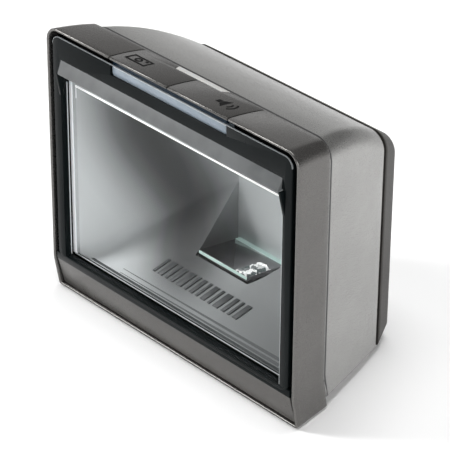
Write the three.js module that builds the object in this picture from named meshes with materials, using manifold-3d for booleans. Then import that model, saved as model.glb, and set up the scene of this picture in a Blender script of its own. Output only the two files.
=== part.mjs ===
// Upright on-counter barcode scanner: one vertical reading window in a tapered housing.
// Millimetres, +Z up. Built with y measured back from the front rim, then moved so that the
// origin is the bottom centre of the whole. The window faces -Y.
import * as THREE from "three";
import { mergeVertices } from "three/addons/utils/BufferGeometryUtils.js";
import Module from "manifold-3d";

const wasm = await Module();
wasm.setup();

const { PI } = Math;
const FAR = 200; // reach of a cutting block that has to pass the whole object
const GAP = 0.3; // air between two pieces that touch

// ---- driving dimensions ----
const VISOR_REACH = 2.5; // the visor stands this far in front of the rim
const DEPTH = 97; // visor tip to rear face
const REAR = DEPTH - VISOR_REACH;
const KNEE = 18.8; // below this height the front strip leans back
const LEAN = 3.4; // how far it leans back at the floor
const CROWN = 0.5; // rise of the band's top at mid depth

const BAND = { depth: 24.2, half: [89, 85.2], top: [152.6, 148.3], radius: [8.2, 7.4], bottom: 0.6 };
const BAND_WALL = 1.5;
const HOUSING = { front: 24.5, rear: 78.1, half: [84.4, 68.4], top: [147.5, 125.4], radius: [10.5, 9] };
const HOUSING_BOTTOM = [5, 3.9];
const HOUSING_WALL = 2;
const TOP_CURVE = 0.65; // share of the fall that grows with the square of the depth
const SIDE_CURVE = 0.14;
const BACK = { front: 79.9, half: [68.1, 60.7], top: [125, 114.4], radius: [9, 8], bottom: [3.9, 4.3] };
const BACK_WALL = 2.2;

const FRAME = { front: 0.25, half: 84.6, bottom: 21.5, top: 148.7, radius: 5, rear: 7.5 };
const FLANGE = { front: 6, half: 86, top: 149.7 };
const OPENING = { half: 79, bottom: 23, top: 131 };
const VISOR = { half: 78.4, brow: 136.8, tip: 130.4, lip: 129.7 };
const GLASS = { front: 4.3, rear: 6.3, half: 80.2, bottom: 21.2, top: 134 };
const GASKET_RIM = 1.5;
const CHIN = { half: 86, bottom: 2.5, front: 4.6 };

const BUTTON = { half: 41.3, seam: 0.36, thick: 2.2, travel: 0.9, stemX: 20.6, stemY: 15 };
const WELL = { depth: 3.4, floor: 1.4, gap: 0.4, front: 6, side: 1.6 };
const LIGHT_BAR = { half: 40.7, bottom: 142.7, top: 147.9, front: 1.2, rear: 5.7 };
const TAB = { half: 17.9, front: 20.3, thick: 3 };

const FUNNEL = {
  front: 7.8,
  rear: 65.5,
  wall: 1.8,
  sections: [ // mouth, end of the ledge, waist, throat
    { y: 7.8, half: 76.5, bottom: 21, top: 120.5 },
    { y: 11, half: 74.6, bottom: 21, top: 120.2 },
    { y: 37.5, half: 59.5, bottom: 36.6, top: 117.5 },
    { y: 65.5, half: 19, bottom: 68.2, top: 110 },
  ],
};
const RIM = { half: 85.6, bottom: 19.5, top: 141, thick: 1.7, radius: 4 };
const POCKET = { half: 19, flare: 12, front: 36, frontZ: 35.4, rearZ: 30.9 };
const MIRROR = { half: 17.5, length: 28.6, thick: 2.6, pad: 1 };
const EYE_Z = 97; // height of the camera's axis
const SENSOR_Y = 80.5; // front of the image sensor

const BOARD = 1.6; // thickness of a circuit board
const MAIN_BOARD = { half: 45, front: 70, bottom: 10, top: 72 };
const TUB = { half: 29, bottom: 10.3, top: 29, floor: 87.9, wall: 2 };
const PORT_FACE = TUB.floor - 0.2;

const UPPER_SCREW = { x: 50, z: 103 };
const LOWER_SCREW = { x: 52, z: 14.5 };
const SCREW = { head: 3.3, headTop: 92.7, headBase: 90.3, shank: 1.6, tip: 70 };
const INSERT = { x: 25, z: 75, outer: 3, inner: 1.65, front: 86.5 };
const LABEL = { half: 22, bottom: 42, top: 60, sink: 0.8 };

const CORNER_STEPS = 8;
const FOOT_STEPS = 3;
const FOOT_RADIUS = 1.6;

// ---- materials ----
const paint = (color, roughness, metalness = 0, extra = {}) =>
  new THREE.MeshStandardMaterial({ color, roughness, metalness, ...extra });
const MATERIALS = {
  band: paint(0x65625f, 0.42),
  frame: paint(0x1d1f20, 0.25),
  housing: paint(0x9a9a98, 0.5),
  backPlate: paint(0x565350, 0.5),
  rubber: paint(0x141414, 0.9),
  chassis: paint(0x767a7c, 0.6),
  glass: paint(0xdfe8ea, 0.05, 0, { transparent: true, opacity: 0.25 }),
  lightBar: paint(0xb9c3cb, 0.35),
  statusLight: paint(0xcdcbc8, 0.35),
  mirror: paint(0xb4cdc8, 0.05, 0.6),
  lens: paint(0x11151c, 0.05),
  black: paint(0x18191a, 0.5),
  circuit: paint(0x1e4a30, 0.55),
  silicone: paint(0xc7c7c2, 0.7),
  steel: paint(0x9b9b9b, 0.3, 1),
  brass: paint(0xb08d45, 0.3, 1),
  label: paint(0xc9c9c7, 0.6),
};

const scanner = new THREE.Group();
scanner.position.y = DEPTH / 2 - REAR;

// ---- solids ----
function toSolid(geometry) {
  geometry.deleteAttribute("normal");
  geometry.deleteAttribute("uv");
  const merged = mergeVertices(geometry, 1e-4);
  return new wasm.Manifold(new wasm.Mesh({
    numProp: 3,
    vertProperties: Float32Array.from(merged.attributes.position.array),
    triVerts: Uint32Array.from(merged.index.array),
  }));
}

function addPart(name, solid, material) {
  const { vertProperties, triVerts } = solid.getMesh();
  const geometry = new THREE.BufferGeometry();
  geometry.setAttribute("position", new THREE.BufferAttribute(Float32Array.from(vertProperties), 3));
  geometry.setIndex(new THREE.BufferAttribute(Uint32Array.from(triVerts), 1));
  geometry.computeVertexNormals();
  const mesh = new THREE.Mesh(geometry, material);
  mesh.name = name;
  scanner.add(mesh);
}

// a block between two x, two y and two z values
function block([x0, x1], [y0, y1], [z0, z1]) {
  const geometry = new THREE.BoxGeometry(x1 - x0, y1 - y0, z1 - z0);
  geometry.translate((x0 + x1) / 2, (y0 + y1) / 2, (z0 + z1) / 2);
  return toSolid(geometry);
}

// a round rod along y
function rodY(x, z, radius, y0, y1, sides = 24) {
  const geometry = new THREE.CylinderGeometry(radius, radius, y1 - y0, sides);
  geometry.translate(x, (y0 + y1) / 2, z);
  return toSolid(geometry);
}

// an upright round rod
function rodZ(x, y, radius, z0, z1, sides = 24) {
  const geometry = new THREE.CylinderGeometry(radius, radius, z1 - z0, sides);
  geometry.rotateX(PI / 2);
  geometry.translate(x, y, (z0 + z1) / 2);
  return toSolid(geometry);
}

// a profile of [y, z] points carried along x from -half to half
function barX(profile, x0, x1) {
  const shape = new THREE.Shape(profile.map(([y, z]) => new THREE.Vector2(y, z)));
  const geometry = new THREE.ExtrudeGeometry(shape, { depth: x1 - x0, bevelEnabled: false });
  geometry.applyMatrix4(new THREE.Matrix4().set(0, 0, 1, x0, 1, 0, 0, 0, 0, 1, 0, 0, 0, 0, 0, 1));
  return toSolid(geometry);
}

// a plate in the xz plane with round corners, from y0 to y1
function plate(half, z0, z1, radius, y0, y1) {
  const ring = (y) => ringOf({ y, half, top: z1, bottom: z0, radius, foot: radius, knee: (z0 + z1) / 2 });
  return loft([ring(y0), ring(y1)]);
}

// One closed cross-section in the xz plane: small corners below, large corners above.
// Below the knee the points move back in proportion, which gives the leaning front strip.
function ringOf({ y, half, top, bottom, radius, foot = FOOT_RADIUS, lean = 0, knee = KNEE }) {
  const points = [];
  const arc = (x, z, r, start, steps) => {
    for (let i = 0; i <= steps; i += 1) {
      const angle = start + (i / steps) * (PI / 2);
      points.push([x + r * Math.cos(angle), z + r * Math.sin(angle)]);
    }
  };
  arc(half - foot, bottom + foot, foot, -PI / 2, FOOT_STEPS);
  points.push([half, knee]);
  arc(half - radius, top - radius, radius, 0, CORNER_STEPS);
  arc(radius - half, top - radius, radius, PI / 2, CORNER_STEPS);
  points.push([-half, knee]);
  arc(foot - half, bottom + foot, foot, PI, FOOT_STEPS);
  return points.map(([x, z]) => new THREE.Vector3(x, y + lean * Math.max(0, 1 - z / knee), z));
}

function rectangle(half, z0, z1, y) {
  return [[half, z0], [half, z1], [-half, z1], [-half, z0]].map(([x, z]) => new THREE.Vector3(x, y, z));
}

// Skins a list of rings that share one point count. Points i and count-1-i stand level, so the
// two end faces are strips from side to side.
function loft(rings) {
  const count = rings[0].length;
  const faces = [];
  for (let r = 0; r + 1 < rings.length; r += 1) {
    for (let i = 0; i < count; i += 1) {
      const a = r * count + i;
      const b = r * count + ((i + 1) % count);
      faces.push(a, b + count, b, a, a + count, b + count);
    }
  }
  const last = (rings.length - 1) * count;
  for (let i = 0; i + 1 < count / 2; i += 1) {
    const [low, high, farHigh, farLow] = [i, i + 1, count - 2 - i, count - 1 - i];
    faces.push(low, high, farHigh, low, farHigh, farLow);
    faces.push(last + low, last + farHigh, last + high, last + low, last + farLow, last + farHigh);
  }
  const geometry = new THREE.BufferGeometry().setFromPoints(rings.flat());
  geometry.setIndex(faces);
  return toSolid(geometry);
}

const mix = THREE.MathUtils.lerp;
const mirrored = (build) => build(-1).add(build(1));

// ---- cross-sections of the three shells, shrunk inwards by `inset` ----
function bandRing(y, inset = 0) {
  const s = y / BAND.depth;
  const crown = 4 * CROWN * s * (1 - s);
  return ringOf({
    y,
    half: mix(...BAND.half, s) - inset,
    top: mix(...BAND.top, s) + (s > 0 && s < 1 ? crown : 0) - inset,
    bottom: BAND.bottom + inset,
    radius: mix(...BAND.radius, s) - inset,
    foot: Math.max(FOOT_RADIUS - inset, 0.4),
    lean: LEAN,
  });
}

function housingRing(y, inset = 0) {
  const s = (y - HOUSING.front) / (HOUSING.rear - HOUSING.front);
  const fall = (curve) => s * (1 - curve) + curve * s * Math.abs(s);
  return ringOf({
    y,
    half: mix(...HOUSING.half, fall(SIDE_CURVE)) - inset,
    top: mix(...HOUSING.top, fall(TOP_CURVE)) - inset,
    bottom: mix(...HOUSING_BOTTOM, s) + inset,
    radius: mix(...HOUSING.radius, s) - inset,
    foot: Math.max(FOOT_RADIUS - inset, 0.4),
    lean: LEAN * Math.max(0, 1 - Math.max(0, s)),
  });
}

function backRing(y, inset = 0) {
  const s = (y - BACK.front) / (REAR - BACK.front);
  return ringOf({
    y,
    half: mix(...BACK.half, s) - inset,
    top: mix(...BACK.top, s) - inset,
    bottom: mix(...BACK.bottom, s) + inset,
    radius: mix(...BACK.radius, s) - inset,
    foot: Math.max(FOOT_RADIUS - inset, 0.4),
  });
}

// ---- front band with the button well ----
const bandEnvelope = loft([
  bandRing(0, 0.35), bandRing(0.4), bandRing(BAND.depth / 2), bandRing(BAND.depth - 0.3),
  bandRing(BAND.depth, 0.2),
]);

// the layer of the band's top between two depths below its surface
function topLayer(from, to, [x0, x1], [y0, y1]) {
  return bandEnvelope.translate([0, 0, -from])
    .subtract(bandEnvelope.translate([0, 0, -to]))
    .intersect(block([x0, x1], [y0, y1], [BAND.top[1] - 12, FAR]));
}

function frontBand() {
  const hollow = loft([bandRing(-1, BAND_WALL), bandRing(BAND.depth / 2, BAND_WALL),
    bandRing(BAND.depth + 1, BAND_WALL)]);
  const wellHalf = BUTTON.half + WELL.gap;
  const ribHalf = wellHalf + WELL.side;
  const bridge = topLayer(0, WELL.depth + WELL.floor, [-ribHalf, ribHalf], [WELL.front, BAND.depth]);
  const well = topLayer(-1, WELL.depth, [-wellHalf, wellHalf], [-1, BAND.depth + 1]);
  const postTop = BAND.top[0] - 6;
  const posts = mirrored((side) => rodZ(side * 36, BUTTON.stemY, 2, BUTTON_BOARD_TOP + GAP, postTop, 12));
  const stemHoles = mirrored((side) =>
    rodZ(side * BUTTON.stemX, BUTTON.stemY, 3, BAND.top[1] - 12, BAND.top[0]));
  return bandEnvelope.subtract(hollow).add(bridge).add(posts).subtract(well).subtract(stemHoles);
}

// ---- buttons, their domes, switches and board ----
const BUTTON_BOARD_TOP = 137.9;
const SWITCH_TOP = 141.6;
const DOME_TOP = 144.3;

function button(side) {
  const edge = BUTTON.seam / 2;
  const span = side < 0 ? [-BUTTON.half, -edge] : [edge, BUTTON.half];
  const notchHalf = TAB.half + WELL.gap;
  const notch = block([-notchHalf, notchHalf], [TAB.front - WELL.gap, FAR], [0, FAR]);
  const stem = rodZ(side * BUTTON.stemX, BUTTON.stemY, 2.2, DOME_TOP + GAP, BAND.top[1]);
  return topLayer(0, BUTTON.thick, span, [-1, BAND.depth]).subtract(notch).add(stem);
}

function dome(side) {
  const profile = [[0, 0], [3.4, 0], [3.4, 0.5], [1.9, 1.5], [1.9, DOME_TOP - SWITCH_TOP - GAP], [0, 2.4]];
  const geometry = new THREE.LatheGeometry(profile.map(([r, z]) => new THREE.Vector2(r, z)), 20);
  geometry.rotateX(PI / 2);
  geometry.translate(side * BUTTON.stemX, BUTTON.stemY, SWITCH_TOP + GAP);
  return toSolid(geometry);
}

function tactileSwitch(side) {
  const [x, y] = [side * BUTTON.stemX, BUTTON.stemY];
  return block([x - 3, x + 3], [y - 3, y + 3], [BUTTON_BOARD_TOP + GAP, SWITCH_TOP]);
}

function buttonBoard() {
  return block([-39, 39], [11, 20], [BUTTON_BOARD_TOP - BOARD, BUTTON_BOARD_TOP]);
}

// ---- window frame with its visor and chin ----
function windowFrame() {
  const face = plate(FRAME.half, FRAME.bottom, FRAME.top, FRAME.radius, FRAME.front, FRAME.rear);
  const flange = plate(FLANGE.half, CHIN.bottom, FLANGE.top, 6.5, FLANGE.front, FRAME.rear);
  const chin = barX([
    [FRAME.front, FRAME.bottom + 0.4], [CHIN.front, CHIN.bottom], [FRAME.rear, CHIN.bottom],
    [FRAME.rear, FRAME.bottom + 0.4],
  ], -CHIN.half, CHIN.half);
  const visor = barX([
    [FRAME.front, VISOR.brow], [-VISOR_REACH, VISOR.tip], [0.5 - VISOR_REACH, VISOR.lip],
    [2, OPENING.top - 0.5], [2, VISOR.brow],
  ], -VISOR.half, VISOR.half);
  const gussets = mirrored((side) => barX([
    [0.1 - VISOR_REACH, VISOR.tip], [FRAME.front, 116.5], [2, 116.5], [2, VISOR.tip],
  ], Math.min(side * 78.3, side * 80), Math.max(side * 78.3, side * 80)));
  const view = block([-OPENING.half, OPENING.half], [-FAR, FAR], [OPENING.bottom, OPENING.top]);
  const glassSeat = block(
    [-GLASS.half - GAP, GLASS.half + GAP], [GLASS.front - GAP, FAR],
    [GLASS.bottom - GAP, GLASS.top + GAP]);
  const barSlot = block(
    [-LIGHT_BAR.half - GAP, LIGHT_BAR.half + GAP], [-1, LIGHT_BAR.rear + GAP],
    [LIGHT_BAR.bottom - GAP, FAR]);
  const bridgeRoom = block([-43.7, 43.7], [WELL.front - 0.5, FAR], [146.2, FAR]);
  const screwHoles = screwPlaces(83, 26, 134, (x, z) => rodY(x, z, 1.5, 5, FAR, 12));
  return face.add(flange).add(chin)
    .subtract(view).subtract(glassSeat).subtract(barSlot).subtract(bridgeRoom).subtract(screwHoles)
    .add(visor).add(gussets);
}

// joins one solid at each of the four corners (+-x, low) and (+-x, high)
function screwPlaces(x, low, high, build) {
  return mirrored((side) => build(side * x, low).add(build(side * x, high)));
}

function windowGlass() {
  return plate(GLASS.half, GLASS.bottom, GLASS.top, 1.5, GLASS.front, GLASS.rear);
}

function windowGasket() {
  const [y0, y1] = [GLASS.rear + GAP, FRAME.rear];
  const outer = plate(GLASS.half, GLASS.bottom, GLASS.top, 1.5, y0, y1);
  return outer.subtract(plate(
    GLASS.half - GASKET_RIM, GLASS.bottom + GASKET_RIM, GLASS.top - GASKET_RIM, 1, y0 - 1, y1 + 1));
}

function lightBar() {
  return block([-LIGHT_BAR.half, LIGHT_BAR.half], [LIGHT_BAR.front, LIGHT_BAR.rear],
    [LIGHT_BAR.bottom, LIGHT_BAR.top]);
}

function statusTab() {
  return topLayer(0, TAB.thick, [-TAB.half, TAB.half], [TAB.front, BAND.depth]);
}

// ---- rear housing ----
function housingEnvelope(inset, y0, y1) {
  const steps = 6;
  const rings = [];
  for (let i = 0; i <= steps; i += 1) {
    rings.push(housingRing(mix(y0, y1, i / steps), inset));
  }
  return loft(rings);
}

function rearHousing() {
  const skin = housingEnvelope(0, HOUSING.front, HOUSING.rear);
  const bridgeRoom = block([-44, 44], [0, BAND.depth + GAP], [BAND.top[1] - 10, FAR]);
  const tongue = loft([housingRing(19.5, 2.6), housingRing(HOUSING.front + 3, 1.8)]).subtract(bridgeRoom);
  const hollow = housingEnvelope(HOUSING_WALL + 2.4, 18, HOUSING.front + 4)
    .add(housingEnvelope(HOUSING_WALL, HOUSING.front + 2.2, HOUSING.rear + 1));
  const lugs = mirrored((side) => {
    const outwards = (x) => [Math.min(side * x, side * 90), Math.max(side * x, side * 90)];
    return block(outwards(LOWER_SCREW.x - 5), [64, HOUSING.rear], [0, LOWER_SCREW.z + 5.5])
      .add(block(outwards(UPPER_SCREW.x - 5), [64, HOUSING.rear], [UPPER_SCREW.z - 6, FAR]));
  }).intersect(skin);
  const screwHoles = eachCoverScrew((x, z) => rodY(x, z, SCREW.shank + GAP, SCREW.tip - 2, FAR, 12))
    .reduce((all, hole) => all.add(hole));
  const footSeats = feetPlaces().map(({ x, y, top }) =>
    block([x - 8.3, x + 8.3], [y - 5.3, y + 5.3], [-1, top + GAP]));
  const shell = skin.add(tongue).subtract(hollow).add(lugs).subtract(screwHoles).subtract(speakerSlots());
  return footSeats.reduce((body, seat) => body.subtract(seat), shell);
}

const SPEAKER = { x: -45, y: 48, radius: 14, bottom: 8, top: 16 };

function speakerSlots() {
  const slots = [-2, -1, 0, 1, 2].map((step) => {
    const y = SPEAKER.y + step * 4;
    const reach = Math.sqrt(11 ** 2 - (step * 4) ** 2);
    return block([SPEAKER.x - reach, SPEAKER.x + reach], [y - 0.8, y + 0.8], [-1, SPEAKER.bottom]);
  });
  return slots.reduce((all, slot) => all.add(slot));
}

function speaker() {
  const { x, y, radius, bottom, top } = SPEAKER;
  return rodZ(x, y, radius, bottom, bottom + 3, 32).add(rodZ(x, y, radius * 0.6, bottom + 2.5, top, 32));
}

function feetPlaces() {
  const seat = 0.9; // how deep a foot sits in the housing's underside
  const underside = (y) => mix(...HOUSING_BOTTOM, (y - HOUSING.front) / (HOUSING.rear - HOUSING.front));
  return [["front_left", -62, 36], ["front_right", 62, 36], ["rear_left", -48, 70], ["rear_right", 48, 70]]
    .map(([name, x, y]) => ({ name, x, y, top: underside(y) + seat - GAP }));
}

function foot({ x, y, top }) {
  return block([x - 8, x + 8], [y - 5, y + 5], [0, top]);
}

// ---- back plate with the connector tub ----
function backPlate() {
  const skin = loft([backRing(BACK.front), backRing(REAR - 1), backRing(REAR, 0.8)]);
  const hollow = loft([backRing(BACK.front - 1, BACK_WALL), backRing(REAR - 2.4, BACK_WALL)]);
  const tub = block([-TUB.half - TUB.wall, TUB.half + TUB.wall], [TUB.floor - 2.4, REAR],
    [BACK.bottom[1], TUB.top + TUB.wall]).intersect(skin);
  const tubRoom = block([-TUB.half, TUB.half], [TUB.floor, FAR], [TUB.bottom, TUB.top]);
  const cableWay = block([-10, 10], [TUB.floor + 1.6, FAR], [-1, TUB.bottom + 1]);
  const screwPosts = eachCoverScrew((x, z) => rodY(x, z, 5, BACK.front, REAR - 2)).map((post) =>
    post.intersect(skin));
  const insertPosts = mirrored((side) => rodY(side * INSERT.x, INSERT.z, 5.5, 84, REAR - 2));
  const cuts = [
    ...eachCoverScrew((x, z) => rodY(x, z, SCREW.shank + GAP, BACK.front - 1, FAR, 12)),
    ...eachCoverScrew((x, z) => rodY(x, z, SCREW.head + GAP, SCREW.headBase - GAP, FAR)),
    ...portList().map(({ box }) => block(widen(box[0]), [80, FAR], widen(box[2]))),
    mirrored((side) => rodY(side * INSERT.x, INSERT.z, INSERT.outer + GAP, INSERT.front - GAP, FAR)),
    block([-LABEL.half, LABEL.half], [REAR - LABEL.sink, FAR], [LABEL.bottom, LABEL.top]),
    ...vents(),
  ];
  const posts = screwPosts.reduce((all, post) => all.add(post), insertPosts);
  const shell = skin.subtract(hollow).add(tub).add(posts).subtract(tubRoom).subtract(cableWay);
  return cuts.reduce((body, cut) => body.subtract(cut), shell);
}

function widen([low, high]) {
  return [low - GAP, high + GAP];
}

function vents() {
  const slots = [];
  for (let x = -20; x <= 20; x += 5) {
    slots.push(block([x - 0.9, x + 0.9], [BACK.front, FAR], [88, 102]));
  }
  return slots;
}

function eachCoverScrew(build) {
  return [LOWER_SCREW, UPPER_SCREW].flatMap(({ x, z }) => [build(-x, z), build(x, z)]);
}

function coverScrew(x, z) {
  const drive = block([x - 2.2, x + 2.2], [SCREW.headTop - 1, FAR], [z - 0.4, z + 0.4])
    .add(block([x - 0.4, x + 0.4], [SCREW.headTop - 1, FAR], [z - 2.2, z + 2.2]));
  return rodY(x, z, SCREW.shank, SCREW.tip, SCREW.headBase + 0.5, 12)
    .add(rodY(x, z, SCREW.head, SCREW.headBase, SCREW.headTop))
    .subtract(drive);
}

function mountInsert(side) {
  const [x, z] = [side * INSERT.x, INSERT.z];
  return rodY(x, z, INSERT.outer, INSERT.front, REAR - 0.2)
    .subtract(rodY(x, z, INSERT.inner, INSERT.front - 1, REAR + 1, 16));
}

function ratingLabel() {
  return block([GAP - LABEL.half, LABEL.half - GAP], [REAR - LABEL.sink + GAP, REAR - 0.1],
    [LABEL.bottom + GAP, LABEL.top - GAP]);
}

// seam between housing and back plate
function seamGasket() {
  const inset = 1;
  const outer = loft([housingRing(HOUSING.rear + GAP, inset), backRing(BACK.front - GAP, inset)]);
  return outer.subtract(loft([backRing(HOUSING.rear - 1, 4), backRing(BACK.front + 1, 4)]));
}

// ---- connectors ----
function portList() {
  const from = MAIN_BOARD.front + BOARD + GAP;
  const socket = ([x0, x1], [z0, z1]) => block([x0, x1], [PORT_FACE - 10, FAR], [z0, z1]);
  return [
    { name: "host_port", box: [[-27, -11], [from, PORT_FACE], [12.5, 26]],
      mouth: socket([-24.85, -13.15], [16, 22.7]) },
    { name: "aux_port", box: [[11, 27], [from, PORT_FACE], [12.5, 26]],
      mouth: socket([13.15, 24.85], [16, 22.7]) },
    { name: "power_jack", box: [[-5, 5], [from, PORT_FACE], [12.5, 24]],
      mouth: rodY(0, 18.5, 3.1, PORT_FACE - 9, FAR).subtract(rodY(0, 18.5, 1, PORT_FACE - 10, PORT_FACE - 1, 12)) },
  ];
}

// ---- optics ----
// the funnel's sections grown outwards, the last one pushed back to y
function funnel(side, below, above, lastY) {
  const { sections } = FUNNEL;
  return loft(sections.map(({ y, half, bottom, top }, i) =>
    rectangle(half + side, bottom - below, top + above, i === sections.length - 1 ? lastY : y)));
}

// height of the slope in front of the throat, at depth y
function slopeZ(y) {
  const [waist, throat] = FUNNEL.sections.slice(-2);
  return mix(waist.bottom, throat.bottom, (y - waist.y) / (throat.y - waist.y));
}

function pocketFloorZ(y) {
  return mix(POCKET.frontZ, POCKET.rearZ, (y - POCKET.front) / (FUNNEL.rear - POCKET.front));
}

// The mirror's pocket, grown outwards by `grow`. Its right side flares out to the funnel's wall.
function pocket(grow, drop, rise) {
  const { half, flare, front } = POCKET;
  const rear = FUNNEL.rear + grow;
  const outline = [
    [-half - grow, front - grow], [half + 0.4 * grow, front - grow],
    [half + flare + grow, front + 10.6 - 0.4 * grow], [half + flare + grow, rear - 9],
    [half + grow / 2, rear], [-half - grow, rear],
  ];
  const ring = (heightAt) => outline.map(([x, y]) => new THREE.Vector3(x, y, heightAt(y)));
  return loft([ring((y) => slopeZ(y) + rise), ring((y) => pocketFloorZ(y) - drop)]);
}

function opticsChassis() {
  const { front, rear, wall, sections: [mouth] } = FUNNEL;
  const skin = funnel(2.2, 2.6, 2, rear + wall);
  const air = funnel(0, 0, 0, rear);
  const rim = plate(RIM.half, RIM.bottom, RIM.top, RIM.radius, front, front + RIM.thick);
  const entry = block([-mouth.half, mouth.half], [front - 1, front + 0.01], [mouth.bottom, mouth.top]);
  const eyeHole = rodY(0, EYE_Z, 6, rear - 2, rear + wall + 1);
  const ledHoles = mirrored((side) => {
    const [x0, x1] = [Math.min(side * 9.5, side * 17.5), Math.max(side * 9.5, side * 17.5)];
    return block([x0, x1], [rear - 2, rear + wall + 1], [EYE_Z - 8, EYE_Z + 8]);
  });
  const screwHoles = screwPlaces(83, 26, 134, (x, z) => rodY(x, z, 1.5, 5, 12, 12));
  return skin.add(rim).add(pocket(wall, wall, 4))
    .subtract(air).subtract(entry).subtract(pocket(0, 0, 2)).subtract(eyeHole).subtract(ledHoles)
    .subtract(screwHoles);
}

function chassisScrew(x, z) {
  const seat = FUNNEL.front + RIM.thick + GAP;
  return rodY(x, z, 1.2, FLANGE.front + 0.5, seat + 0.5, 12).add(rodY(x, z, 2.3, seat, seat + 1.8, 16));
}

// a slab lying parallel to the pocket's floor, `lift` above it
function pocketSlab(half, lift, thick) {
  const slope = Math.atan2(POCKET.frontZ - POCKET.rearZ, FUNNEL.rear - POCKET.front);
  const geometry = new THREE.BoxGeometry(2 * half, MIRROR.length, thick);
  geometry.translate(0, MIRROR.length / 2, lift + thick / 2);
  geometry.rotateX(-slope);
  geometry.translate(0, POCKET.front + GAP, POCKET.frontZ);
  return toSolid(geometry);
}

function cameraLens() {
  const radius = 5.5;
  const bulge = 1.4;
  const length = 3.4;
  const steps = 6;
  const profile = [];
  for (let i = 0; i <= steps; i += 1) {
    const r = (radius * i) / steps;
    profile.push(new THREE.Vector2(r, bulge * (r / radius) ** 2));
  }
  profile.push(new THREE.Vector2(radius, bulge + length), new THREE.Vector2(0, bulge + length));
  const geometry = new THREE.LatheGeometry(profile, 28);
  geometry.translate(0, FUNNEL.rear, EYE_Z);
  return toSolid(geometry);
}

function cameraBarrel() {
  const y0 = FUNNEL.rear + FUNNEL.wall + GAP;
  return rodY(0, EYE_Z, 8.6, y0, SENSOR_Y - GAP, 28).subtract(rodY(0, EYE_Z, 5.9, y0 - 1, SENSOR_Y, 28));
}

function ledLens(side) {
  const [x0, x1] = [Math.min(side * 9.8, side * 17.2), Math.max(side * 9.8, side * 17.2)];
  return block([x0, x1], [FUNNEL.rear + 0.2, FUNNEL.rear + FUNNEL.wall], [EYE_Z - 7.7, EYE_Z + 7.7]);
}

function ledBoard(side) {
  const y0 = FUNNEL.rear + FUNNEL.wall + GAP;
  const [x0, x1] = [Math.min(side * 9.2, side * 21), Math.max(side * 9.2, side * 21)];
  return block([x0, x1], [y0, y0 + BOARD], [EYE_Z - 12, EYE_Z + 12]);
}

function imageSensor() {
  return block([-4, 4], [SENSOR_Y, SENSOR_Y + 1.3], [EYE_Z - 4, EYE_Z + 4]);
}

function sensorBoard() {
  const y0 = SENSOR_Y + 1.3 + GAP;
  return block([-16, 16], [y0, y0 + BOARD], [EYE_Z - 16, EYE_Z + 16]);
}

function mainBoard() {
  const { half, front, bottom, top } = MAIN_BOARD;
  return block([-half, half], [front, front + BOARD], [bottom, top]);
}

// ---- assembly ----
addPart("front_band", frontBand(), MATERIALS.band);
addPart("window_frame", windowFrame(), MATERIALS.frame);
addPart("window_glass", windowGlass(), MATERIALS.glass);
addPart("window_gasket", windowGasket(), MATERIALS.rubber);
addPart("status_light_bar", lightBar(), MATERIALS.lightBar);
addPart("rear_status_light", statusTab(), MATERIALS.statusLight);
addPart("rear_housing", rearHousing(), MATERIALS.housing);
addPart("seam_gasket", seamGasket(), MATERIALS.rubber);
addPart("back_plate", backPlate(), MATERIALS.backPlate);
addPart("rating_label", ratingLabel(), MATERIALS.label);
for (const place of feetPlaces()) {
  addPart(`foot_${place.name}`, foot(place), MATERIALS.rubber);
}
for (const [side, word, use] of [[-1, "left", "capture"], [1, "right", "volume"]]) {
  addPart(`${use}_button`, button(side), MATERIALS.band);
  addPart(`dome_${word}`, dome(side), MATERIALS.silicone);
  addPart(`switch_${word}`, tactileSwitch(side), MATERIALS.black);
  addPart(`led_lens_${word}`, ledLens(side), MATERIALS.silicone);
  addPart(`led_board_${word}`, ledBoard(side), MATERIALS.circuit);
  addPart(`mount_insert_${word}`, mountInsert(side), MATERIALS.brass);
}
addPart("button_board", buttonBoard(), MATERIALS.circuit);
addPart("optics_chassis", opticsChassis(), MATERIALS.chassis);
addPart("mirror_pad", pocketSlab(MIRROR.half - 1, GAP, MIRROR.pad), MATERIALS.rubber);
addPart("fold_mirror", pocketSlab(MIRROR.half, MIRROR.pad + 2 * GAP, MIRROR.thick), MATERIALS.mirror);
addPart("camera_lens", cameraLens(), MATERIALS.lens);
addPart("camera_barrel", cameraBarrel(), MATERIALS.black);
addPart("image_sensor", imageSensor(), MATERIALS.black);
addPart("sensor_board", sensorBoard(), MATERIALS.circuit);
addPart("main_board", mainBoard(), MATERIALS.circuit);
for (const { name, box, mouth } of portList()) {
  addPart(name, block(...box).subtract(mouth), MATERIALS.black);
}
addPart("speaker", speaker(), MATERIALS.black);
eachCoverScrew(coverScrew).forEach((screw, i) => addPart(`cover_screw_${i + 1}`, screw, MATERIALS.steel));
[[-83, 26], [83, 26], [-83, 134], [83, 134]].forEach(([x, z], i) => {
  addPart(`chassis_screw_${i + 1}`, chassisScrew(x, z), MATERIALS.steel);
});

export default scanner;
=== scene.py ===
import math
import random

import bmesh
import bpy
from mathutils import Matrix, Vector

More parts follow.
